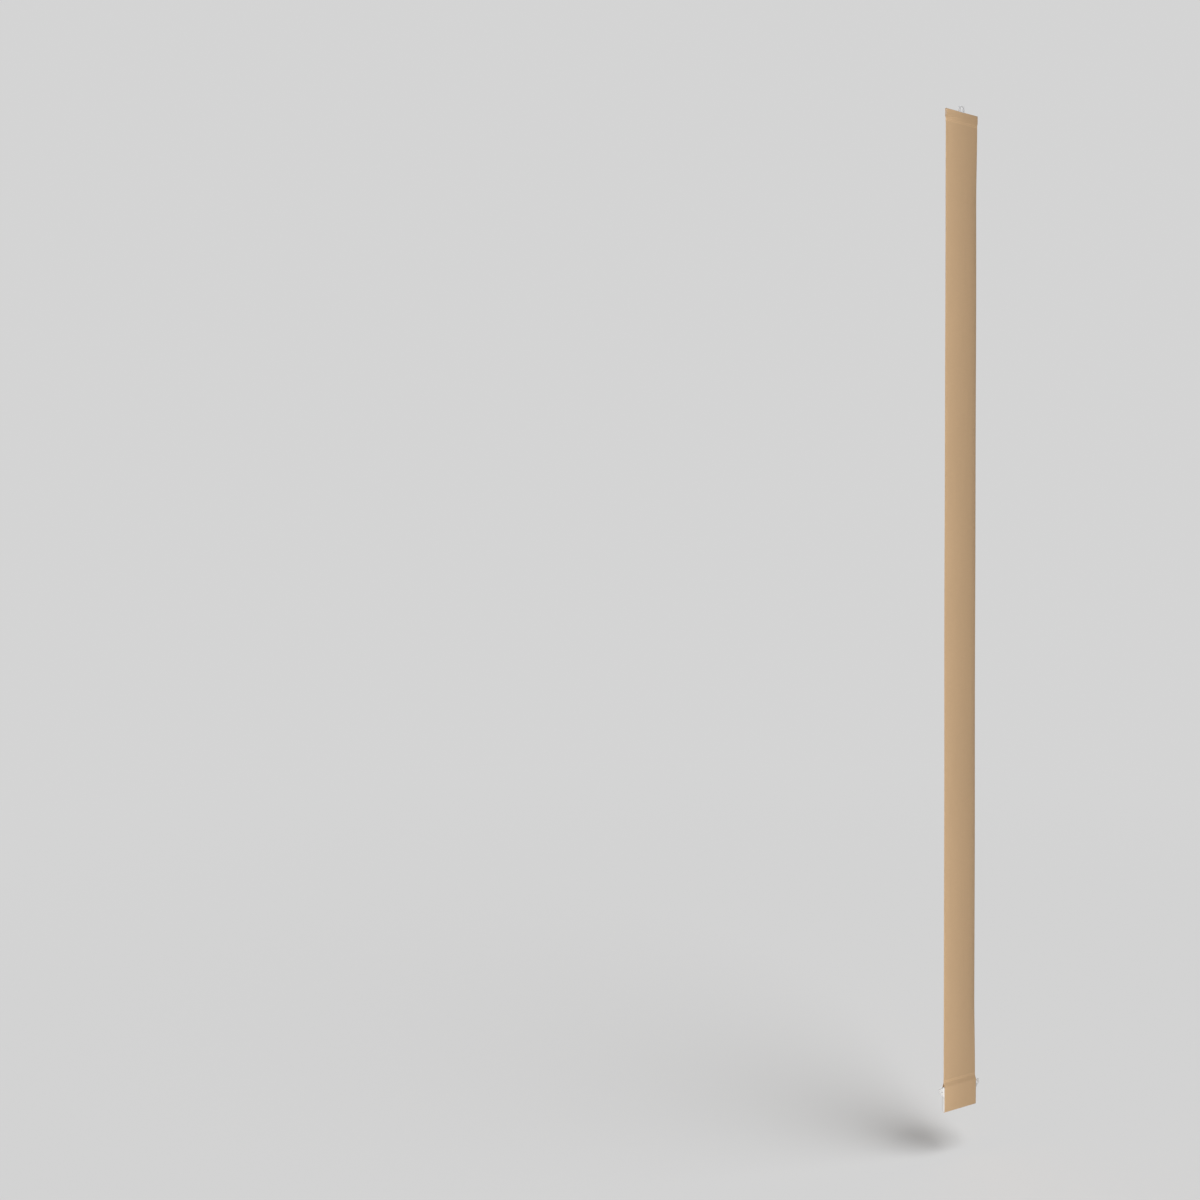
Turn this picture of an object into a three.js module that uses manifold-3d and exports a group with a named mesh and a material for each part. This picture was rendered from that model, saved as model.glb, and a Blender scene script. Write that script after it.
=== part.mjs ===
// Vertical blind vane: a woven fabric slat, folded over and welded at both ends into two pockets,
// with a moulded hanger in the top pocket and a moulded weight with two holed lugs in the bottom pocket.
// Millimetres, +Z up. The origin is the middle of the underside of the top bar of the hanger's
// eye. X runs along the vane's width. -Y is the plain face, and the hems are turned back to +Y.

import * as THREE from "three";
import { mergeVertices } from "three/addons/utils/BufferGeometryUtils.js";
import Module from "manifold-3d";

const wasm = await Module();
wasm.setup();

// Fabric strip
const VANE_WIDTH = 89;
const VANE_DROP = 2060;
const FABRIC_THICKNESS = 0.5;

// Welded hems, measured from the fold of each
const TOP_WELD_DISTANCE = 21.2;
const BOTTOM_WELD_DISTANCE = 62;
const WELD_SPACING = 3;
const WELD_WIDTH = 1.4;
const WELD_SINK = 0.12;
const HEM_BEYOND_WELD = 2.5;

// Clearances
const POCKET_CLEARANCE = 0.3;
const SLIT_CLEARANCE = 0.5;
const SLIT_DEPTH = 1.5;
const SLIT_CORNER_RADIUS = 1;

// Hanger
const HANGER_LENGTH = 87;
const HANGER_THICKNESS = 1.8;
const HANGER_BAR_HEIGHT = 14;
const HANGER_TOP_CORNER_RADIUS = 2;
const HANGER_BOTTOM_CORNER_RADIUS = 5;
const HANGER_EDGE_BEVEL = 0.3;
const EYE_OPENING_WIDTH = 7.5;
const EYE_OPENING_HEIGHT = 8;
const EYE_OPENING_CORNER_RADIUS = 1;
const EYE_SIDE_BAR = 3.8;
const EYE_TOP_BAR = 3.4;
const EYE_CORNER_RADIUS = 2.5;
const EYE_SILL_ABOVE_FOLD = 0.5;

// Weight
const WEIGHT_THICKNESS = 4.5;
const WEIGHT_HEIGHT = 51.5;
const WEIGHT_BEYOND_FABRIC = 1;
const WEIGHT_END_BEVEL = 0.6;
const LUG_REACH = 11.4;
const LUG_THICKNESS = 2.4;
const LUG_BELOW_WEIGHT_TOP = 0.6;
const LUG_OUTER_SIDE_HEIGHT = 7.5;
const LUG_HEIGHT = 20.5;
const LUG_TOP_CORNER_RADIUS = 3;
const LUG_HEEL_RADIUS = 2;
const LUG_EDGE_BEVEL = 0.4;
const LUG_ROOT = 4;
const CHAIN_HOLE_DIAMETER = 5;
const CHAIN_HOLE_FROM_EDGE = 5.8;
const CHAIN_HOLE_BELOW_LUG_TOP = 7.2;

// Fineness of the curves
const FOLD_SEGMENTS = 12;
const POCKET_MOUTH_SEGMENTS = 8;
const CORNER_SEGMENTS = 6;
const CHAIN_HOLE_SEGMENTS = 16;
const BEVEL_SEGMENTS = 2;

// Places worked out from the sizes
const EYE_SILL_Z = -EYE_OPENING_HEIGHT;
const TOP_FOLD_Z = EYE_SILL_Z - EYE_SILL_ABOVE_FOLD;
const BOTTOM_FOLD_Z = TOP_FOLD_Z - VANE_DROP;
const EYE_WIDTH = EYE_OPENING_WIDTH + 2 * EYE_SIDE_BAR;
const HANGER_BAR_TOP_Z = TOP_FOLD_Z - FABRIC_THICKNESS - POCKET_CLEARANCE;
const HANGER_BAR_BOTTOM_Z = HANGER_BAR_TOP_Z - HANGER_BAR_HEIGHT;
const WEIGHT_BOTTOM_Z = BOTTOM_FOLD_Z + FABRIC_THICKNESS + POCKET_CLEARANCE;
const WEIGHT_TOP_Z = WEIGHT_BOTTOM_Z + WEIGHT_HEIGHT;
const WEIGHT_LENGTH = VANE_WIDTH + 2 * WEIGHT_BEYOND_FABRIC;
const LUG_TOP_Z = WEIGHT_TOP_Z - LUG_BELOW_WEIGHT_TOP;

const FABRIC_MATERIAL = new THREE.MeshStandardMaterial({
  name: "woven_fabric",
  color: 0xbc9e7b,
  roughness: 0.92,
  metalness: 0,
});
const HANGER_MATERIAL = new THREE.MeshStandardMaterial({
  name: "hanger_plastic",
  color: 0xe9e7e2,
  roughness: 0.45,
  metalness: 0,
});
const WEIGHT_MATERIAL = new THREE.MeshStandardMaterial({
  name: "weight_plastic",
  color: 0xf2f0ec,
  roughness: 0.5,
  metalness: 0,
});

// Turns a drawing of (y, z), extruded along its own depth, so that it runs along X
const SIDE_VIEW = new THREE.Matrix4().set(0, 0, 1, 0, 1, 0, 0, 0, 0, 1, 0, 0, 0, 0, 0, 1);

// Turns a drawing of (x, z), extruded along its own depth, so that it runs along Y
const FRONT_VIEW = new THREE.Matrix4().set(1, 0, 0, 0, 0, 0, -1, 0, 0, 1, 0, 0, 0, 0, 0, 1);

function toSolid(geometry) {
  geometry.deleteAttribute("normal");
  geometry.deleteAttribute("uv");
  const merged = mergeVertices(geometry, 1e-5);
  const mesh = new wasm.Mesh({
    numProp: 3,
    vertProperties: new Float32Array(merged.attributes.position.array),
    triVerts: new Uint32Array(merged.index.array),
  });
  return new wasm.Manifold(mesh);
}

function toGeometry(solid) {
  const mesh = solid.getMesh();
  const geometry = new THREE.BufferGeometry();
  geometry.setAttribute("position", new THREE.BufferAttribute(mesh.vertProperties, 3));
  geometry.setIndex(new THREE.BufferAttribute(mesh.triVerts, 1));
  geometry.computeVertexNormals();
  return geometry;
}

// Extrudes a drawing to a thickness that includes its bevels, centred on the drawing's plane
function extrudeCentred(shape, thickness, view, bevel = 0) {
  const geometry = new THREE.ExtrudeGeometry(shape, {
    depth: thickness - 2 * bevel,
    bevelEnabled: bevel > 0,
    bevelThickness: bevel,
    bevelSize: bevel,
    bevelOffset: -bevel,
    bevelSegments: BEVEL_SEGMENTS,
  });
  geometry.translate(0, 0, bevel - thickness / 2);
  geometry.applyMatrix4(view);
  return toSolid(geometry);
}

function arc(centreX, centreZ, radius, startAngle, endAngle, segments) {
  const points = [];
  for (let step = 0; step <= segments; step += 1) {
    const angle = THREE.MathUtils.lerp(startAngle, endAngle, step / segments);
    points.push(new THREE.Vector2(centreX + radius * Math.cos(angle), centreZ + radius * Math.sin(angle)));
  }
  return points;
}

// The half circle of a fold or of a round edge, centred on the middle plane
function halfCircle(centreZ, radius, startAngle, endAngle) {
  return arc(0, centreZ, radius, startAngle, endAngle, FOLD_SEGMENTS);
}

// A pocket and its hem, described by distance from its fold. The two layers run side by side round
// the piece inside, close up to the first weld line and lie flat on each other from there.
function pocket(pieceThickness, pieceHeight, weldDistance) {
  const halfGap = pieceThickness / 2 + POCKET_CLEARANCE;
  const closingStart = FABRIC_THICKNESS + pieceHeight + 2 * POCKET_CLEARANCE;
  const closingEnd = weldDistance - WELD_WIDTH / 2;
  const mouth = [];
  for (let step = 0; step <= POCKET_MOUTH_SEGMENTS; step += 1) {
    const share = step / POCKET_MOUTH_SEGMENTS;
    mouth.push({
      distance: THREE.MathUtils.lerp(closingStart, closingEnd, share),
      halfGap: halfGap * Math.cos((share * Math.PI) / 2),
    });
  }
  mouth[POCKET_MOUTH_SEGMENTS].halfGap = 0;
  return { halfGap, mouth, weldDistance, hemEnd: weldDistance + WELD_SPACING + HEM_BEYOND_WELD };
}

// Outer surface of a pocket's layer, from where its round fold ends to beyond its two weld lines
function layerSurface(thePocket) {
  const surface = thePocket.mouth.map(({ distance, halfGap }) => ({
    distance,
    offset: halfGap + FABRIC_THICKNESS,
  }));
  surface.pop();
  for (const line of [thePocket.weldDistance, thePocket.weldDistance + WELD_SPACING]) {
    surface.push({ distance: line - WELD_WIDTH / 2, offset: FABRIC_THICKNESS });
    surface.push({ distance: line - WELD_WIDTH / 4, offset: FABRIC_THICKNESS - WELD_SINK });
    surface.push({ distance: line + WELD_WIDTH / 4, offset: FABRIC_THICKNESS - WELD_SINK });
    surface.push({ distance: line + WELD_WIDTH / 2, offset: FABRIC_THICKNESS });
  }
  return surface;
}

// Side view of the whole strip: the outer line runs up the plain face, over the top fold, down the
// back with its two hem ends, and round the bottom fold. The two pockets are holes in it.
function stripSideView() {
  const topPocket = pocket(HANGER_THICKNESS, HANGER_BAR_HEIGHT, TOP_WELD_DISTANCE);
  const bottomPocket = pocket(WEIGHT_THICKNESS, WEIGHT_HEIGHT, BOTTOM_WELD_DISTANCE);
  const at = (z, { offset }, side) => new THREE.Vector2(side * offset, z);
  const atTop = (point, side) => at(TOP_FOLD_Z - point.distance, point, side);
  const atBottom = (point, side) => at(BOTTOM_FOLD_Z + point.distance, point, side);
  const topSurface = layerSurface(topPocket);
  const bottomSurface = layerSurface(bottomPocket);
  const topRadius = topPocket.halfGap + FABRIC_THICKNESS;
  const bottomRadius = bottomPocket.halfGap + FABRIC_THICKNESS;
  const topCentreZ = TOP_FOLD_Z - topRadius;
  const bottomCentreZ = BOTTOM_FOLD_Z + bottomRadius;

  const plainFace = [
    ...bottomSurface.map((point) => atBottom(point, -1)),
    ...topSurface.map((point) => atTop(point, -1)).reverse(),
  ];
  const back = [
    ...topSurface.map((point) => atTop(point, 1)),
    atTop({ distance: topPocket.hemEnd, offset: FABRIC_THICKNESS }, 1),
    atTop({ distance: topPocket.hemEnd, offset: 0 }, 1),
    atBottom({ distance: bottomPocket.hemEnd, offset: 0 }, 1),
    atBottom({ distance: bottomPocket.hemEnd, offset: FABRIC_THICKNESS }, 1),
    ...bottomSurface.map((point) => atBottom(point, 1)).reverse(),
  ];
  const shape = new THREE.Shape([
    ...plainFace,
    ...halfCircle(topCentreZ, topRadius, Math.PI, 0),
    ...back,
    ...halfCircle(bottomCentreZ, bottomRadius, 0, -Math.PI),
  ]);
  const topFoldInside = halfCircle(topCentreZ, topPocket.halfGap, 0, Math.PI);
  const bottomFoldInside = halfCircle(bottomCentreZ, bottomPocket.halfGap, -Math.PI, 0);
  shape.holes.push(pocketHole(topPocket, atTop, topFoldInside, -1));
  shape.holes.push(pocketHole(bottomPocket, atBottom, bottomFoldInside, 1));
  return shape;
}

// Inner line of a pocket, counterclockwise: the round of the fold, which ends on arcEndSide, then one
// layer to the tip where the layers meet, and the other layer back
function pocketHole(thePocket, place, foldArc, arcEndSide) {
  const layer = thePocket.mouth.map(({ distance, halfGap }) => ({ distance, offset: halfGap }));
  const tip = layer.pop();
  return new THREE.Path([
    ...foldArc,
    ...layer.map((point) => place(point, arcEndSide)),
    place(tip, arcEndSide),
    ...layer.map((point) => place(point, -arcEndSide)).reverse(),
  ]);
}

function roundedRectangle(width, bottomZ, topZ, bottomRadius, topRadius) {
  const bottomX = width / 2 - bottomRadius;
  const topX = width / 2 - topRadius;
  const bottomCentreZ = bottomZ + bottomRadius;
  const topCentreZ = topZ - topRadius;
  return new THREE.Shape([
    ...arc(bottomX, bottomCentreZ, bottomRadius, -Math.PI / 2, 0, CORNER_SEGMENTS),
    ...arc(topX, topCentreZ, topRadius, 0, Math.PI / 2, CORNER_SEGMENTS),
    ...arc(-topX, topCentreZ, topRadius, Math.PI / 2, Math.PI, CORNER_SEGMENTS),
    ...arc(-bottomX, bottomCentreZ, bottomRadius, Math.PI, 1.5 * Math.PI, CORNER_SEGMENTS),
  ]);
}

// A bar along X whose upper and lower edges are fully round, so that it beds in the round of a fold
function roundEdgedBar(length, thickness, bottomZ, topZ, endBevel) {
  const radius = thickness / 2;
  const profile = new THREE.Shape([
    ...halfCircle(bottomZ + radius, radius, -Math.PI, 0),
    ...halfCircle(topZ - radius, radius, 0, Math.PI),
  ]);
  return extrudeCentred(profile, length, SIDE_VIEW, endBevel);
}

function makeFabricVane() {
  const strip = extrudeCentred(stripSideView(), VANE_WIDTH, SIDE_VIEW);
  const slit = extrudeCentred(
    roundedRectangle(
      EYE_WIDTH + 2 * SLIT_CLEARANCE,
      TOP_FOLD_Z - SLIT_DEPTH,
      TOP_FOLD_Z + SLIT_DEPTH,
      SLIT_CORNER_RADIUS,
      SLIT_CORNER_RADIUS,
    ),
    2 * (HANGER_THICKNESS + 2 * POCKET_CLEARANCE + 2 * FABRIC_THICKNESS),
    FRONT_VIEW,
  );
  return strip.subtract(slit);
}

// The flat bar spreads the vane's weight along the fold, and the eye stands out of the slit
function makeTopHanger() {
  const bar = roundEdgedBar(
    HANGER_LENGTH,
    HANGER_THICKNESS,
    HANGER_BAR_BOTTOM_Z,
    HANGER_BAR_TOP_Z,
    HANGER_EDGE_BEVEL,
  );
  const barOutline = extrudeCentred(
    roundedRectangle(
      HANGER_LENGTH,
      HANGER_BAR_BOTTOM_Z,
      HANGER_BAR_TOP_Z,
      HANGER_BOTTOM_CORNER_RADIUS,
      HANGER_TOP_CORNER_RADIUS,
    ),
    2 * HANGER_THICKNESS,
    FRONT_VIEW,
  );
  const eyeOutline = roundedRectangle(
    EYE_WIDTH,
    (HANGER_BAR_TOP_Z + HANGER_BAR_BOTTOM_Z) / 2,
    EYE_TOP_BAR,
    EYE_CORNER_RADIUS,
    EYE_CORNER_RADIUS,
  );
  eyeOutline.holes.push(
    roundedRectangle(
      EYE_OPENING_WIDTH,
      EYE_SILL_Z,
      0,
      EYE_OPENING_CORNER_RADIUS,
      EYE_OPENING_CORNER_RADIUS,
    ),
  );
  const eye = extrudeCentred(eyeOutline, HANGER_THICKNESS, FRONT_VIEW, HANGER_EDGE_BEVEL);
  return bar.intersect(barOutline).add(eye);
}

// A line drawn for the far end (side 1), or its mirror image at the near end (side -1), which is
// listed backwards so that it still runs the same way round
function atEnd(points, side) {
  if (side > 0) {
    return points;
  }
  return points.map((point) => new THREE.Vector2(-point.x, point.y)).reverse();
}

// One lug: a flat top, a round outer corner, a short upright side and a heel that slopes back to the
// weight's end
function makeLug(side) {
  const endX = WEIGHT_LENGTH / 2;
  const rootX = endX - LUG_ROOT;
  const outerX = VANE_WIDTH / 2 + LUG_REACH;
  const footZ = LUG_TOP_Z - LUG_HEIGHT;
  const heel = new THREE.Vector2(outerX, LUG_TOP_Z - LUG_OUTER_SIDE_HEIGHT);
  const foot = new THREE.Vector2(endX, footZ);
  const slopeEnd = foot.clone().sub(heel).setLength(LUG_HEEL_RADIUS).add(heel);
  const sideStart = new THREE.Vector2(outerX, heel.y + LUG_HEEL_RADIUS);
  const heelCurve = new THREE.QuadraticBezierCurve(slopeEnd, heel, sideStart);
  const cornerX = outerX - LUG_TOP_CORNER_RADIUS;
  const cornerZ = LUG_TOP_Z - LUG_TOP_CORNER_RADIUS;
  const edge = [
    new THREE.Vector2(rootX, LUG_TOP_Z),
    new THREE.Vector2(rootX, footZ),
    foot,
    ...heelCurve.getPoints(CORNER_SEGMENTS),
    ...arc(cornerX, cornerZ, LUG_TOP_CORNER_RADIUS, 0, Math.PI / 2, CORNER_SEGMENTS),
  ];
  const holeX = VANE_WIDTH / 2 + CHAIN_HOLE_FROM_EDGE;
  const holeZ = LUG_TOP_Z - CHAIN_HOLE_BELOW_LUG_TOP;
  const rim = arc(holeX, holeZ, CHAIN_HOLE_DIAMETER / 2, 0, 2 * Math.PI, CHAIN_HOLE_SEGMENTS);
  rim.pop();
  const outline = new THREE.Shape(atEnd(edge, side));
  outline.holes.push(new THREE.Path(atEnd(rim, side)));
  return extrudeCentred(outline, LUG_THICKNESS, FRONT_VIEW, LUG_EDGE_BEVEL);
}

function makeBottomWeight() {
  const body = roundEdgedBar(
    WEIGHT_LENGTH,
    WEIGHT_THICKNESS,
    WEIGHT_BOTTOM_Z,
    WEIGHT_TOP_Z,
    WEIGHT_END_BEVEL,
  );
  return body.add(makeLug(1)).add(makeLug(-1));
}

function makeNode(name, solid, material) {
  const mesh = new THREE.Mesh(toGeometry(solid), material);
  mesh.name = name;
  return mesh;
}

const group = new THREE.Group();
group.add(makeNode("fabric_vane", makeFabricVane(), FABRIC_MATERIAL));
group.add(makeNode("top_hanger", makeTopHanger(), HANGER_MATERIAL));
group.add(makeNode("bottom_weight", makeBottomWeight(), WEIGHT_MATERIAL));

export default group;
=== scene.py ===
"""Looks of a vertical blind vane: woven fabric, a moulded hanger and a moulded weight.

Metres, in the frame of the solids: +Z is up, +X runs across the vane and its plain face looks along
-Y. The hanger and the weight keep their solids. A finer mesh of the same folded strip replaces the
fabric's solid.
"""

import math

import bmesh
import bpy
import numpy as np
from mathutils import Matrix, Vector


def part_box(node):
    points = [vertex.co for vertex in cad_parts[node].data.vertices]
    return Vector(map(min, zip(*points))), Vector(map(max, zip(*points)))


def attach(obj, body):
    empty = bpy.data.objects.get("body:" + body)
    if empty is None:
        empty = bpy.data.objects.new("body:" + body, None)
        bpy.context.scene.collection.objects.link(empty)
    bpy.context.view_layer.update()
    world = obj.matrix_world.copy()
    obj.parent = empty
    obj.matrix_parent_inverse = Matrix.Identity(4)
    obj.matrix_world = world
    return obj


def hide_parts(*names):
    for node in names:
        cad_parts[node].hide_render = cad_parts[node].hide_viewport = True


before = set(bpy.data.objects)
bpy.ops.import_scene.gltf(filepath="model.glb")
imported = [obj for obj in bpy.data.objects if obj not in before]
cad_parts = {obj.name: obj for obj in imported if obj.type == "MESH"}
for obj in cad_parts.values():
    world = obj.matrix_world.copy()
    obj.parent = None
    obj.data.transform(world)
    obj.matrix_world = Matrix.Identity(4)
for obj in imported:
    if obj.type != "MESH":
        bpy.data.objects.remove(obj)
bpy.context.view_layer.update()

MM = 0.001

# The fabric node's own box gives where the two folds and the two cut edges lie
FABRIC_LOW, FABRIC_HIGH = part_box("fabric_vane")
VANE_WIDTH = FABRIC_HIGH.x - FABRIC_LOW.x
TOP_FOLD_Z = FABRIC_HIGH.z
BOTTOM_FOLD_Z = FABRIC_LOW.z
MIDDLE_Z = (TOP_FOLD_Z + BOTTOM_FOLD_Z) / 2

# Sizes that the solids are built to
FABRIC_THICKNESS = 0.5 * MM
POCKET_CLEARANCE = 0.3 * MM
HANGER_THICKNESS = 1.8 * MM
HANGER_BAR_HEIGHT = 14 * MM
WEIGHT_THICKNESS = 4.5 * MM
WEIGHT_HEIGHT = 51.5 * MM
TOP_WELD_DISTANCE = 21.2 * MM
BOTTOM_WELD_DISTANCE = 62 * MM
WELD_SPACING = 3 * MM
WELD_WIDTH = 1.4 * MM
WELD_SINK = 0.12 * MM
HEM_BEYOND_WELD = 2.5 * MM
SLIT_WIDTH = 16.1 * MM
SLIT_DEPTH = 1.5 * MM
WEIGHT_TOP_Z = BOTTOM_FOLD_Z + FABRIC_THICKNESS + POCKET_CLEARANCE + WEIGHT_HEIGHT

# How the cloth departs from a flat sheet: the hem's free end stands off, the layers close over an
# insert nearly in a straight line, and the cut edges are pressed thinner
HEM_LIFT = 0.25 * MM
LAYER_GAP = 0.02 * MM
CLOSING_ROUND = 0.35
EDGE_CRUSH = 0.75
EDGE_CRUSH_WIDTH = 0.2 * MM

# The free length bows across its width, and curls back towards its far edge. Both grow over
# BOW_FADE from the hems
BOW = 0.7 * MM
BOW_LEVEL = 0.35
BOW_FADE = 0.16
EDGE_CURL = 1.7 * MM
EDGE_CURL_FROM = 0.6

# It also sways and twists along its length, in waves of so many radians a metre from a phase
SWAY = 0.35 * MM
LONG_WAVE = (5.1, 0.6)
SHORT_WAVE = (11.3, 2.0)
SHORT_WAVE_SHARE = 0.5
SHORT_WAVE_SLANT = 0.8
TWIST_WAVE = (3.3, 1.1)
TWIST_SHARE = 0.4

# Fineness of the cloth mesh. Distances that agree to DISTANCE_DIGITS decimals share a row
FLAT_STEP = 5 * MM
COLUMN_STEP = 1.9 * MM
FOLD_STEPS = 14
WALL_POINTS = 12
CLOSING_POINTS = 13
WELD_POINTS = 9
HEM_POINTS = 5
DISTANCE_DIGITS = 7
CLOTH_SHARP_ANGLE = math.radians(35)


def smooth_step(x):
    x = np.clip(x, 0.0, 1.0)
    return x * x * (3 - 2 * x)


def weld_share_at(distance, welds):
    """1 in the middle of a weld line, and 0 from its edges on."""
    away = min(abs(distance - weld) for weld in welds) / (WELD_WIDTH / 2)
    return 0.5 + 0.5 * math.cos(math.pi * away) if away < 1 else 0.0


def pocket_profile(piece_thickness, piece_height, weld_distance):
    """One layer of a pocket from the end of its round fold to the hem's cut end, as a list of
    (distance from the fold, outer offset, inner offset, weld share)."""
    half_gap = piece_thickness / 2 + POCKET_CLEARANCE
    half_weld = WELD_WIDTH / 2
    closing_start = FABRIC_THICKNESS + piece_height + 2 * POCKET_CLEARANCE
    closing_end = weld_distance - half_weld
    welds = (weld_distance, weld_distance + WELD_SPACING)
    hem_end = welds[1] + HEM_BEYOND_WELD
    distances = list(np.linspace(half_gap + FABRIC_THICKNESS, closing_start, WALL_POINTS))
    distances += list(np.linspace(closing_start, closing_end, CLOSING_POINTS)[1:])
    for weld in welds:
        distances += list(np.linspace(weld - half_weld, weld + half_weld, WELD_POINTS))
    distances += list(np.linspace(welds[1] + half_weld, hem_end, HEM_POINTS))
    profile = []
    for distance in sorted(set(np.round(distances, DISTANCE_DIGITS))):
        share = np.clip((distance - closing_start) / (closing_end - closing_start), 0, 1)
        closed = CLOSING_ROUND * smooth_step(share) + (1 - CLOSING_ROUND) * share
        inner = half_gap * (1 - closed)
        weld_share = weld_share_at(distance, welds)
        outer = inner + FABRIC_THICKNESS - WELD_SINK * weld_share
        profile.append((float(distance), float(outer), float(inner), weld_share))
    return half_gap, profile


def layer_stations(profile, side, fold_z, away, is_hem):
    """Stations of one layer of a pocket. Side is 1 at the back and -1 at the plain face, and away
    is the sign of z going away from the fold. A hem lies just off the other layer."""
    free_from = max(profile[0][0], profile[-1][0]) - HEM_BEYOND_WELD
    stations = []
    for distance, outer, inner, weld in profile:
        offset = LAYER_GAP if is_hem else 0.0
        if is_hem and distance > free_from:
            offset += HEM_LIFT * ((distance - free_from) / HEM_BEYOND_WELD) ** 2
        z = fold_z + away * distance
        stations.append(((side * (outer + offset), z), (side * (inner + offset), z), weld))
    return stations


def fold_stations(half_gap, centre_z, start, end):
    """Stations of a pocket's round fold, between its two layers."""
    outer = half_gap + FABRIC_THICKNESS
    stations = []
    for step in range(1, FOLD_STEPS):
        angle = start + (end - start) * step / FOLD_STEPS
        c, s = math.cos(angle), math.sin(angle)
        stations.append(
            ((outer * c, centre_z + outer * s), (half_gap * c, centre_z + half_gap * s), 0.0)
        )
    return stations


def strip_stations():
    """Side view of the strip, from the top hem's cut end to the bottom hem's: for each station its
    outer point (y, z), its inner point (y, z) and its weld share. Each hem's length comes too."""
    top_gap, top = pocket_profile(HANGER_THICKNESS, HANGER_BAR_HEIGHT, TOP_WELD_DISTANCE)
    low_gap, low = pocket_profile(WEIGHT_THICKNESS, WEIGHT_HEIGHT, BOTTOM_WELD_DISTANCE)
    top_hem, low_hem = top[-1][0], low[-1][0]
    top_centre = TOP_FOLD_Z - top_gap - FABRIC_THICKNESS
    low_centre = BOTTOM_FOLD_Z + low_gap + FABRIC_THICKNESS
    stations = layer_stations(top[::-1], 1, TOP_FOLD_Z, -1, True)
    stations += fold_stations(top_gap, top_centre, 0, math.pi)
    stations += layer_stations(top, -1, TOP_FOLD_Z, -1, False)
    flat_from = TOP_FOLD_Z - top_hem
    flat_to = BOTTOM_FOLD_Z + low_hem
    rows = int((flat_from - flat_to) / FLAT_STEP)
    for z in np.linspace(flat_from, flat_to, rows + 1)[1:-1]:
        stations.append(((-FABRIC_THICKNESS, float(z)), (0.0, float(z)), 0.0))
    stations += layer_stations(low[::-1], -1, BOTTOM_FOLD_Z, 1, False)
    stations += fold_stations(low_gap, low_centre, math.pi, 2 * math.pi)
    stations += layer_stations(low, 1, BOTTOM_FOLD_Z, 1, True)
    return stations, top_hem, low_hem


def vane_columns():
    """Places across the width: even, with one on each side of the slit and one close to each edge."""
    half = VANE_WIDTH / 2
    slit = SLIT_WIDTH / 2
    outer = np.linspace(slit, half - EDGE_CRUSH_WIDTH, round((half - slit) / COLUMN_STEP))
    middle = np.linspace(-slit, slit, round(SLIT_WIDTH / COLUMN_STEP) + 1)
    right = list(outer[1:]) + [half]
    return np.array([-x for x in right[::-1]] + list(middle) + right)


def wave(z, turn_and_phase, shift=0.0):
    turn, phase = turn_and_phase
    return np.sin(turn * z + phase + shift)


def hanging_shape(x, z, top_hem, low_hem):
    """How far the free length of the cloth stands out of its plane: a slight bow across the width,
    a curl at the far edge and a slow sway along the length. They are gone where the pockets hold the
    cloth flat."""
    from_top = (TOP_FOLD_Z - top_hem) - z
    from_low = z - (BOTTOM_FOLD_Z + low_hem)
    free = smooth_step(from_top / BOW_FADE) * smooth_step(from_low / BOW_FADE)
    across = x / (VANE_WIDTH / 2)
    bow = BOW * (across**2 - BOW_LEVEL)
    curl_share = np.clip((across - EDGE_CURL_FROM) / (1 - EDGE_CURL_FROM), 0, 1)
    curl = EDGE_CURL * curl_share**2
    sway = wave(z, LONG_WAVE) + SHORT_WAVE_SHARE * wave(z, SHORT_WAVE, SHORT_WAVE_SLANT * across)
    twist = TWIST_SHARE * across * wave(z, TWIST_WAVE)
    return free * (bow + curl + SWAY * (sway + twist))


def slit_cells(columns, outer):
    """The mesh cells, as (row, column), that the slit in the top fold leaves open."""
    rows = [
        r for r in range(len(outer) - 1)
        if min(outer[r][1], outer[r + 1][1]) > TOP_FOLD_Z - SLIT_DEPTH
    ]
    cols = [
        c for c in range(len(columns) - 1)
        if abs(columns[c] + columns[c + 1]) / 2 < SLIT_WIDTH / 2
    ]
    return {(r, c) for r in rows for c in cols}


def strip_faces(n_rows, n_cols, open_cells):
    """Faces of the strip's two sides and of its cut rims, and for each whether it is cut cloth."""

    def index(side, row, col):
        return (side * n_rows + row) * n_cols + col

    def solid(r, c):
        return 0 <= r < n_rows - 1 and 0 <= c < n_cols - 1 and (r, c) not in open_cells

    cells = [(r, c) for r in range(n_rows - 1) for c in range(n_cols - 1) if solid(r, c)]
    faces, cut = [], []
    for r, c in cells:
        corners = ((r, c), (r, c + 1), (r + 1, c + 1), (r + 1, c))
        faces.append([index(0, *corner) for corner in corners])
        faces.append([index(1, *corners[i]) for i in (0, 3, 2, 1)])
        cut += [0, 0]
    for r, c in cells:
        corners = ((r, c), (r, c + 1), (r + 1, c + 1), (r + 1, c))
        neighbours = ((r - 1, c), (r, c + 1), (r + 1, c), (r, c - 1))
        for i, neighbour in enumerate(neighbours):
            if not solid(*neighbour):
                a, b = corners[i], corners[(i + 1) % 4]
                faces.append([index(0, *b), index(0, *a), index(1, *a), index(1, *b)])
                cut.append(1)
    return faces, cut


def strip_points(outer, inner, columns, top_hem, low_hem):
    """Places of the strip's points, by side, row and column."""
    middle = (outer + inner) / 2
    near_edge = np.abs(columns) > VANE_WIDTH / 2 - EDGE_CRUSH_WIDTH / 2
    crush = np.where(near_edge, EDGE_CRUSH, 1.0)
    points = np.zeros((2, len(outer), len(columns), 3))
    for side, line in enumerate((outer, inner)):
        points[side, :, :, 0] = columns[None, :]
        thickness = (line - middle)[:, None, :] * crush[None, :, None]
        points[side, :, :, 1:] = middle[:, None, :] + thickness
    points[..., 1] += hanging_shape(points[..., 0], points[..., 2], top_hem, low_hem)
    return points


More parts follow.
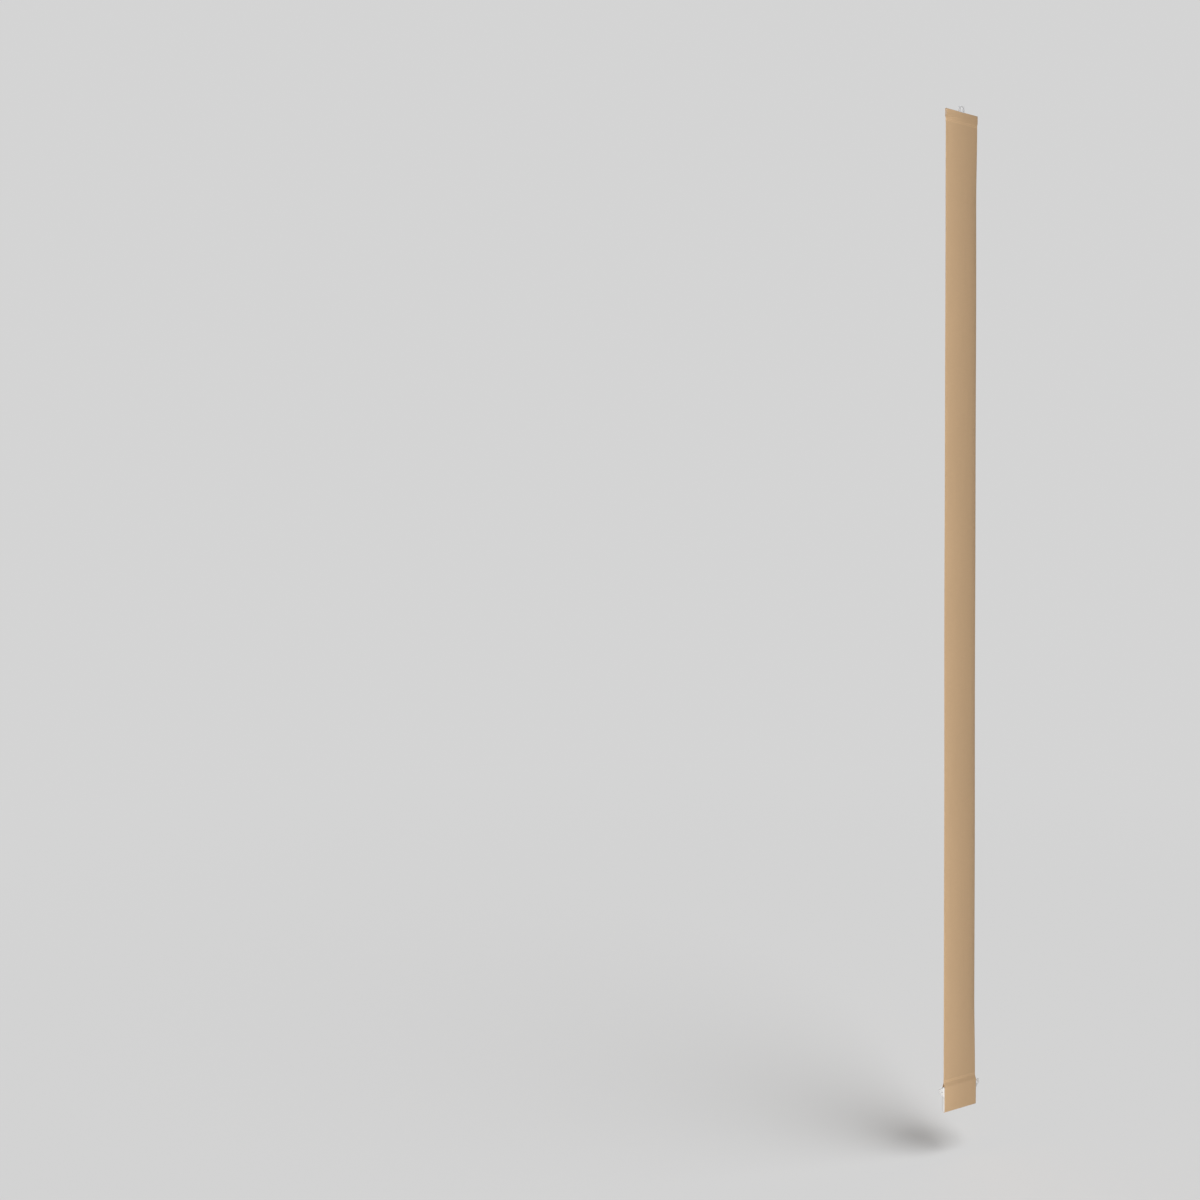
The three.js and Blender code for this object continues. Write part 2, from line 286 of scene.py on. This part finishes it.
def store_cloth_places(mesh, columns, along, weld):
    """Gives each point its place on the flat cloth, across and along, and its weld share."""
    place = np.zeros((2, len(along), len(columns), 3))
    place[..., 0] = columns[None, None, :]
    place[..., 1] = along[None, :, None]
    place[..., 2] = weld[None, :, None]
    cloth = mesh.attributes.new("cloth", "FLOAT_VECTOR", "POINT")
    cloth.data.foreach_set("vector", place.reshape(-1).astype(np.float32))


def build_fabric():
    """The strip as one closed mesh, and the length that it was cut to."""
    stations, top_hem, low_hem = strip_stations()
    columns = vane_columns()
    outer = np.array([station[0] for station in stations])
    inner = np.array([station[1] for station in stations])
    weld = np.array([station[2] for station in stations])
    steps = np.linalg.norm(np.diff((outer + inner) / 2, axis=0), axis=1)
    along = np.concatenate([[0], np.cumsum(steps)])

    points = strip_points(outer, inner, columns, top_hem, low_hem)
    faces, cut = strip_faces(len(stations), len(columns), slit_cells(columns, outer))
    mesh = bpy.data.meshes.new("fabric_strip")
    mesh.from_pydata(points.reshape(-1, 3).tolist(), [], faces)
    mesh.polygons.foreach_set("material_index", cut)
    store_cloth_places(mesh, columns, along, weld)
    mesh.validate()
    strip = bpy.data.objects.new("fabric_strip", mesh)
    bpy.context.scene.collection.objects.link(strip)
    remove_loose_points(mesh)
    mesh.shade_smooth()
    mesh.set_sharp_from_angle(angle=CLOTH_SHARP_ANGLE)
    return strip, float(along[-1])


def remove_loose_points(mesh):
    """Takes away the points inside the slit, and turns all faces outwards."""
    work = bmesh.new()
    work.from_mesh(mesh)
    bmesh.ops.delete(work, geom=[v for v in work.verts if not v.link_faces], context="VERTS")
    bmesh.ops.recalc_face_normals(work, faces=work.faces)
    work.to_mesh(mesh)
    work.free()


class Nodes:
    """A material's node tree, written one node at a time. An input is given by its name, with _
    for a space, or as i0, i1 and so on by its number."""

    def __init__(self, name):
        self.material = bpy.data.materials.new(name)
        self.material.use_nodes = True
        self.tree = self.material.node_tree
        self.shader = self.tree.nodes["Principled BSDF"]

    def add(self, kind, settings=None, **inputs):
        node = self.tree.nodes.new("ShaderNode" + kind)
        for key, value in (settings or {}).items():
            setattr(node, key, value)
        for key, value in inputs.items():
            numbered = key[0] == "i" and key[1:].isdigit()
            socket = int(key[1:]) if numbered else key.replace("_", " ")
            self.put(node.inputs[socket], value)
        return node

    def put(self, socket, value):
        if isinstance(value, bpy.types.NodeSocket):
            self.tree.links.new(value, socket)
        else:
            socket.default_value = value

    def set(self, **values):
        """Sets numbers and colours on the shader's own sockets."""
        for key, value in values.items():
            self.shader.inputs[key.replace("_", " ")].default_value = value

    def math(self, operation, a, b=0.0, c=0.0):
        return self.add("Math", {"operation": operation}, i0=a, i1=b, i2=c).outputs[0]

    def noise(self, vector, scale=1.0, detail=2.0, roughness=0.5):
        node = self.add("TexNoise", Vector=vector, Scale=scale, Detail=detail, Roughness=roughness)
        return node.outputs["Fac"]

    def scaled(self, vector, factors):
        return self.add("VectorMath", {"operation": "MULTIPLY"}, i0=vector, i1=factors).outputs[0]

    def remap(self, value, source, target):
        node = self.add("MapRange", None, Value=value)
        names = ("From Min", "From Max", "To Min", "To Max")
        for name, number in zip(names, source + target):
            node.inputs[name].default_value = number
        return node.outputs[0]

    def mix(self, factor, a, b, blend="MIX"):
        node = self.add("Mix", {"data_type": "RGBA", "blend_type": blend}, i0=factor, i6=a, i7=b)
        return node.outputs[2]

    def grey(self, value):
        return self.add("CombineColor", None, Red=value, Green=value, Blue=value).outputs[0]

    def bump(self, height, distance, strength):
        return self.add("Bump", None, Height=height, Distance=distance, Strength=strength).outputs[0]


# The part of a noise's range that its values mostly fill
NOISE_SPAN = (0.3, 0.7)

# The weave: yarn pitches, how round a yarn's crown is, and how sharply one yarn gives way to the other
WARP_PITCH = 0.5 * MM
WEFT_PITCH = 0.62 * MM
CROWN_POWER = 0.6
CROSSING_SPAN = (-0.25, 0.25)

# Colours, the painted shade of a valley between yarns, and the painted light that a yarn's crown adds
# to it
WARP_COLOUR = (0.560, 0.376, 0.216, 1)
WEFT_COLOUR = (0.511, 0.342, 0.194, 1)
CUT_COLOUR = (0.66, 0.49, 0.33, 1)
VALLEY_PAINTED_SHADE = 0.88
CROWN_PAINTED_LIGHT = 0.2

# Unevenness of the yarns, as noise cells a metre across and along, and its tone either way
WARP_STREAK_CELLS = (1100, 7, 0)
WEFT_SLUB_CELLS = (55, 1500, 0)
DRIFT_CELLS = (9, 4, 0)
YARN_TONE = (-0.035, 0.035)
DRIFT_TONE = (-0.012, 0.012)

# A weld line is pressed: paler, smoother and flatter
WELD_TONE = 0.34
WELD_SMOOTHING = -0.2
WELD_FLATTENING = -0.6

# The cloth is made a little paler from the weight's top edge down
LOWER_POCKET_PALING = 1.06
LOWER_POCKET_PALING_SOFT = 1.5 * MM

# Surface of the cloth. A slub is a thick place in a yarn, and stands out where its noise is high
FABRIC_ROUGHNESS = 0.88
FABRIC_SHEEN_TINT = (1.0, 0.94, 0.86, 1)
WEAVE_RELIEF = 0.04 * MM
WEAVE_BUMP = 0.8
SLUB_SPAN = (0.5, 0.8)
SLUB_RELIEF = (0.0, 0.5)


def lower_pocket_paling_tone(m):
    """Tone of the cloth: a little paler from the weight's top edge down, and 1 above it."""
    place = m.add("TexCoord").outputs["Object"]
    height = m.add("SeparateXYZ", None, Vector=place).outputs[2]
    edge = (WEIGHT_TOP_Z + LOWER_POCKET_PALING_SOFT, WEIGHT_TOP_Z - LOWER_POCKET_PALING_SOFT)
    return m.remap(height, edge, (1.0, LOWER_POCKET_PALING))


def fabric_material(name, cut_edge=False):
    """Plain weave of warm beige yarn: crossing yarns with painted shade in their valleys and painted
    light on their crowns, uneven yarn thickness and tone, pressed and paler along the weld lines."""
    m = Nodes(name)
    cloth = m.add("Attribute", {"attribute_name": "cloth"}).outputs["Vector"]
    across, along, weld = m.add("SeparateXYZ", None, Vector=cloth).outputs
    warp = m.math("SINE", m.math("MULTIPLY", across, math.pi / WARP_PITCH))
    weft = m.math("SINE", m.math("MULTIPLY", along, math.pi / WEFT_PITCH))
    crossing = m.math("MULTIPLY", warp, weft)
    crown = m.math("POWER", m.math("ABSOLUTE", crossing), CROWN_POWER)

    streak = m.noise(m.scaled(cloth, WARP_STREAK_CELLS), detail=3.0, roughness=0.6)
    slub = m.noise(m.scaled(cloth, WEFT_SLUB_CELLS), roughness=0.55)
    drift = m.noise(m.scaled(cloth, DRIFT_CELLS))
    streak_tone = m.remap(streak, NOISE_SPAN, YARN_TONE)
    slub_tone = m.remap(slub, NOISE_SPAN, YARN_TONE)
    drift_tone = m.remap(drift, NOISE_SPAN, DRIFT_TONE)
    tone = m.math("ADD", m.math("ADD", streak_tone, slub_tone), drift_tone)
    # Painted shade darkens the valleys between yarns, and painted light brightens their crowns
    shade = m.math("ADD", m.math("MULTIPLY_ADD", crown, CROWN_PAINTED_LIGHT, VALLEY_PAINTED_SHADE), tone)
    shade = m.math("MULTIPLY", shade, m.math("MULTIPLY_ADD", weld, WELD_TONE, 1.0))
    # The cloth from the weight's top edge down is made a little paler
    shade = m.math("MULTIPLY", shade, lower_pocket_paling_tone(m))

    if cut_edge:
        colour = m.mix(0.5, CUT_COLOUR, WARP_COLOUR)
    else:
        warp_on_top = m.remap(crossing, CROSSING_SPAN, (0.0, 1.0))
        colour = m.mix(warp_on_top, WEFT_COLOUR, WARP_COLOUR)
    m.put(m.shader.inputs["Base Color"], m.mix(1.0, colour, m.grey(shade), "MULTIPLY"))
    roughness = m.math("MULTIPLY_ADD", weld, WELD_SMOOTHING, FABRIC_ROUGHNESS)
    m.put(m.shader.inputs["Roughness"], roughness)
    m.set(Specular_IOR_Level=0.25)
    m.set(Sheen_Weight=0.18, Sheen_Roughness=0.45, Sheen_Tint=FABRIC_SHEEN_TINT)

    yarns = m.math("ADD", crown, m.remap(slub, SLUB_SPAN, SLUB_RELIEF))
    relief = m.math("MULTIPLY", yarns, m.math("MULTIPLY_ADD", weld, WELD_FLATTENING, 1.0))
    m.put(m.shader.inputs["Normal"], m.bump(relief, WEAVE_RELIEF, WEAVE_BUMP))
    return m.material


# Moulded plastic: noise cells a metre of its flow marks, mould grain and clouding, and their tones
FLOW_CELLS = (60, 60, 22)
GRAIN_CELLS = 5200
CLOUD_CELLS = 240
FLOW_TONE = (0.975, 1.02)
CLOUD_TONE = (-0.012, 0.012)

# Its surface, and how deep red, green and blue light go into it
FLOW_POLISH = 0.05
FLOW_DULLING = 0.06
FLOW_RELIEF_SHARE = 3.0
PLASTIC_RELIEF = 0.012 * MM
PLASTIC_BUMP = 0.6
PLASTIC_DEPTH = (1.2 * MM, 1.1 * MM, 1.0 * MM)
PLASTIC_SHARP_ANGLE = math.radians(30)


def plastic_material(name, colour, roughness):
    """Moulded plastic: a satin skin with a fine mould grain, faint flow marks and a little wax-like
    depth."""
    m = Nodes(name)
    place = m.add("TexCoord").outputs["Object"]
    flow = m.noise(m.scaled(place, FLOW_CELLS), detail=4.0, roughness=0.6)
    grain = m.noise(place, GRAIN_CELLS, roughness=0.6)
    cloud = m.noise(place, CLOUD_CELLS, detail=3.0)
    flow_tone = m.remap(flow, NOISE_SPAN, FLOW_TONE)
    shade = m.math("ADD", flow_tone, m.remap(cloud, NOISE_SPAN, CLOUD_TONE))
    m.put(m.shader.inputs["Base Color"], m.mix(1.0, colour, m.grey(shade), "MULTIPLY"))
    roughnesses = (roughness - FLOW_POLISH, roughness + FLOW_DULLING)
    m.put(m.shader.inputs["Roughness"], m.remap(flow, NOISE_SPAN, roughnesses))
    m.set(IOR=1.49)
    m.set(Subsurface_Weight=0.08, Subsurface_Radius=PLASTIC_DEPTH, Subsurface_Scale=1.0)
    relief = m.math("ADD", grain, m.math("MULTIPLY", flow, FLOW_RELIEF_SHARE))
    m.put(m.shader.inputs["Normal"], m.bump(relief, PLASTIC_RELIEF, PLASTIC_BUMP))
    return m.material


def dress_node(node, material):
    """Gives a solid that keeps its shape its material and clean smooth shading."""
    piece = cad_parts[node]
    piece.data.materials.clear()
    piece.data.materials.append(material)
    piece.data.shade_smooth()
    piece.data.set_sharp_from_angle(angle=PLASTIC_SHARP_ANGLE)
    return piece


# The hanger's grey is partly its plastic's own pale colour and partly painted shade, darker than the
# weight's plastic
HANGER_GREY_WITH_PAINTED_SHADE = (0.58, 0.58, 0.585, 1)
HANGER_ROUGHNESS = 0.42
WEIGHT_COLOUR = (0.70, 0.688, 0.67, 1)
WEIGHT_ROUGHNESS = 0.45

hanger_plastic = plastic_material("hanger_plastic", HANGER_GREY_WITH_PAINTED_SHADE, HANGER_ROUGHNESS)
weight_plastic = plastic_material("weight_plastic", WEIGHT_COLOUR, WEIGHT_ROUGHNESS)
hanger = dress_node("top_hanger", hanger_plastic)
weight = dress_node("bottom_weight", weight_plastic)

fabric, strip_length = build_fabric()
fabric.data.materials.append(fabric_material("woven_fabric"))
fabric.data.materials.append(fabric_material("woven_fabric_cut_edge", cut_edge=True))
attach(fabric, "root")
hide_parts("fabric_vane")

# The photograph's viewing place and direction
CAMERA_PLACE = (-1.7982, -1.7263, -0.9969)
CAMERA_YAW = math.radians(28.766)
CAMERA_PITCH = math.radians(-0.421)
SENSOR_WIDTH = 36.0
FOCAL_PIXELS = 1150
IMAGE_PIXELS = 1200


def make_camera():
    data = bpy.data.cameras.new("camera")
    data.sensor_width = SENSOR_WIDTH
    data.lens = SENSOR_WIDTH * FOCAL_PIXELS / IMAGE_PIXELS
    camera = bpy.data.objects.new("camera", data)
    camera.location = CAMERA_PLACE
    camera.rotation_euler = (math.pi / 2 + CAMERA_PITCH, 0, -CAMERA_YAW)
    bpy.context.scene.collection.objects.link(camera)
    bpy.context.scene.camera = camera


# Tones of the floor and the background where they are seen. The floor sends only BOUNCE_SHARE of
# its light back to the vane
FLOOR_Z = BOTTOM_FOLD_Z - 90 * MM
FLOOR_RADIUS = 9.0
FLOOR_CORNERS = 96
FLOOR_ROUGHNESS = 0.9
FLOOR_COLOUR = 0.70
FLOOR_FADE_FROM = 1.6
FLOOR_FADE_TO = 5.5
BACKGROUND = 0.66
BOUNCE_SHARE = 0.60
WORLD_LIGHT = 0.20
WHITE = (1, 1, 1, 1)
SHOWN_RAYS = ("Is Camera Ray", "Is Glossy Ray", "Is Transmission Ray")


def ray_shows_background(tree):
    """1 for a ray that shows the floor and background as they are seen, and 0 for one that only
    gathers light."""
    rays = tree.nodes.new("ShaderNodeLightPath").outputs
    shown = rays[SHOWN_RAYS[0]]
    for name in SHOWN_RAYS[1:]:
        either = tree.nodes.new("ShaderNodeMath")
        either.operation = "MAXIMUM"
        tree.links.new(shown, either.inputs[0])
        tree.links.new(rays[name], either.inputs[1])
        shown = either.outputs[0]
    return shown


def floor_material():
    """Matt pale grey near the vane, and further out the background's own tone."""
    m = Nodes("floor")
    shown = ray_shows_background(m.tree)
    share = m.math("MULTIPLY_ADD", shown, 1 - BOUNCE_SHARE, BOUNCE_SHARE)
    m.put(m.shader.inputs["Base Color"], m.grey(m.math("MULTIPLY", share, FLOOR_COLOUR)))
    m.set(Roughness=FLOOR_ROUGHNESS, Specular_IOR_Level=0.0)
    glow = m.math("MULTIPLY", share, BACKGROUND)
    far = m.add("Emission", None, Color=WHITE, Strength=glow)
    flat_place = m.scaled(m.add("TexCoord").outputs["Object"], (1, 1, 0))
    radius = m.add("VectorMath", {"operation": "LENGTH"}, i0=flat_place).outputs["Value"]
    fade = m.add("MapRange", {"interpolation_type": "SMOOTHSTEP"}, Value=radius)
    fade.inputs["From Min"].default_value = FLOOR_FADE_FROM
    fade.inputs["From Max"].default_value = FLOOR_FADE_TO
    blend = m.add("MixShader", None, i0=fade.outputs[0], i1=m.shader.outputs[0], i2=far.outputs[0])
    m.put(m.tree.nodes["Material Output"].inputs["Surface"], blend.outputs[0])
    return m.material


def make_floor():
    """A round pale floor that fades into the plain background before its rim."""
    mesh = bpy.data.meshes.new("floor")
    ring = [
        (FLOOR_RADIUS * math.cos(a), FLOOR_RADIUS * math.sin(a), FLOOR_Z)
        for a in np.linspace(0, 2 * math.pi, FLOOR_CORNERS, endpoint=False)
    ]
    mesh.from_pydata(ring, [], [list(range(len(ring)))])
    mesh.materials.append(floor_material())
    floor = bpy.data.objects.new("floor", mesh)
    bpy.context.scene.collection.objects.link(floor)
    return floor


def make_world():
    """A plain background, which lights the vane less than it shows."""
    world = bpy.data.worlds.new("world")
    bpy.context.scene.world = world
    world.use_nodes = True
    tree = world.node_tree
    lit = tree.nodes["Background"]
    seen = tree.nodes.new("ShaderNodeBackground")
    for node, strength in ((lit, WORLD_LIGHT), (seen, BACKGROUND)):
        node.inputs["Color"].default_value = WHITE
        node.inputs["Strength"].default_value = strength
    blend = tree.nodes.new("ShaderNodeMixShader")
    tree.links.new(ray_shows_background(tree), blend.inputs[0])
    tree.links.new(lit.outputs[0], blend.inputs[1])
    tree.links.new(seen.outputs[0], blend.inputs[2])
    tree.links.new(blend.outputs[0], tree.nodes["World Output"].inputs["Surface"])


def collect(name, pieces):
    collection = bpy.data.collections.new(name)
    for piece in pieces:
        collection.objects.link(piece)
    return collection


def link_light(light, lit_pieces, shading_pieces):
    """Puts a light in the scene, for some pieces only."""
    light.light_linking.receiver_collection = lit_pieces
    light.light_linking.blocker_collection = shading_pieces
    bpy.context.scene.collection.objects.link(light)


def soft_light(name, place, target, width, height, power, pieces):
    """A rectangular panel that lights the given pieces and isn't seen itself."""
    data = bpy.data.lights.new(name, "AREA")
    data.shape = "RECTANGLE"
    data.size = width
    data.size_y = height
    data.energy = power
    light = bpy.data.objects.new(name, data)
    light.location = place
    direction = Vector(target) - Vector(place)
    light.rotation_euler = direction.to_track_quat("-Z", "Y").to_euler()
    light.visible_camera = False
    link_light(light, pieces, pieces)


def overhead_light(power, spread, tilt, lit_pieces, shading_pieces):
    """Even light from above that lights the floor."""
    data = bpy.data.lights.new("overhead", "SUN")
    data.energy = power
    data.angle = spread
    light = bpy.data.objects.new("overhead", data)
    light.rotation_euler = tilt
    link_light(light, lit_pieces, shading_pieces)


VANE_MIDDLE = (0, 0, MIDDLE_Z)
VANE_TOP = (0, 0, TOP_FOLD_Z)

# The vane's lights: name, place, target, width, height and power
PANELS = (
    ("near_strip", (-0.155, -0.11, MIDDLE_Z), VANE_MIDDLE, 0.08, 3.2, 2.6),
    ("back_panel", (1.2, 2.2, -1.2), VANE_MIDDLE, 1.8, 3.0, 62),
    ("front_panel", (-1.6, -3.4, -1.8), VANE_MIDDLE, 3.0, 3.6, 42),
    ("far_panel", (2.6, 0.85, MIDDLE_Z), VANE_MIDDLE, 1.0, 2.6, 9),
    ("top_panel", (-0.6, -0.8, 1.2), VANE_TOP, 1.2, 1.2, 1.8),
)
OVERHEAD_POWER = 2.66
OVERHEAD_SPREAD = math.radians(46)
OVERHEAD_TILT = (math.radians(28), math.radians(13), 0)

make_camera()
floor = make_floor()
make_world()
floor_pieces = collect("floor_pieces", [floor])
vane_pieces = collect("vane_pieces", [fabric, hanger, weight])
for panel in PANELS:
    soft_light(*panel, vane_pieces)
overhead_light(OVERHEAD_POWER, OVERHEAD_SPREAD, OVERHEAD_TILT, floor_pieces, vane_pieces)

bpy.context.scene.view_settings.view_transform = "Standard"
